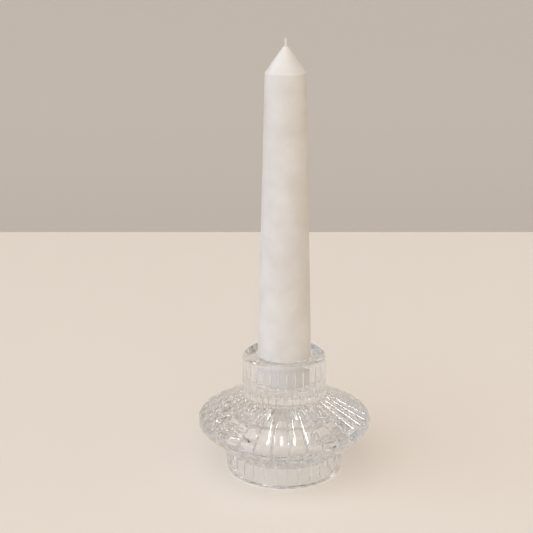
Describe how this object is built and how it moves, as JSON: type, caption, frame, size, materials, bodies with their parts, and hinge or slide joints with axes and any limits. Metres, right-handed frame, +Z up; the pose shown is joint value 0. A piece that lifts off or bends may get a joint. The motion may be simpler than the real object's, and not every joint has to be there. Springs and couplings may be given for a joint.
{
  "type": "glass candlestick",
  "caption": "Low clear ribbed glass candlestick with a flared skirt, a collar socket holding a tapered white dinner candle. A tealight well under the foot is assumed.",
  "frame": {"origin": "centre of the plane that the glass foot rests on, which is the bottom centre of the whole object's box", "axes": "+Z up along the shared axis of the glass and the candle, +X to the right and -Y towards the viewer; the glass and candle are bodies of revolution, so X and Y are otherwise free"},
  "size_m": [0.0728, 0.0728, 0.182],
  "materials": {
    "clear_glass": "clear fire-polished pressed glass",
    "white_wax": "smooth satin candle wax, faintly mottled",
    "cotton_wick": "braided cotton, lightly waxed, unburnt"
  },
  "bodies": {
    "holder": {"glass_holder": "clear_glass"},
    "candle": {"candle_wax": "white_wax", "wick": "cotton_wick"}
  },
  "joints": [
    {"name": "candle_lift", "type": "slide", "parent": "holder", "child": "candle", "axis": [0, 0, 1], "range_m": [0, 0.03]}
  ]
}
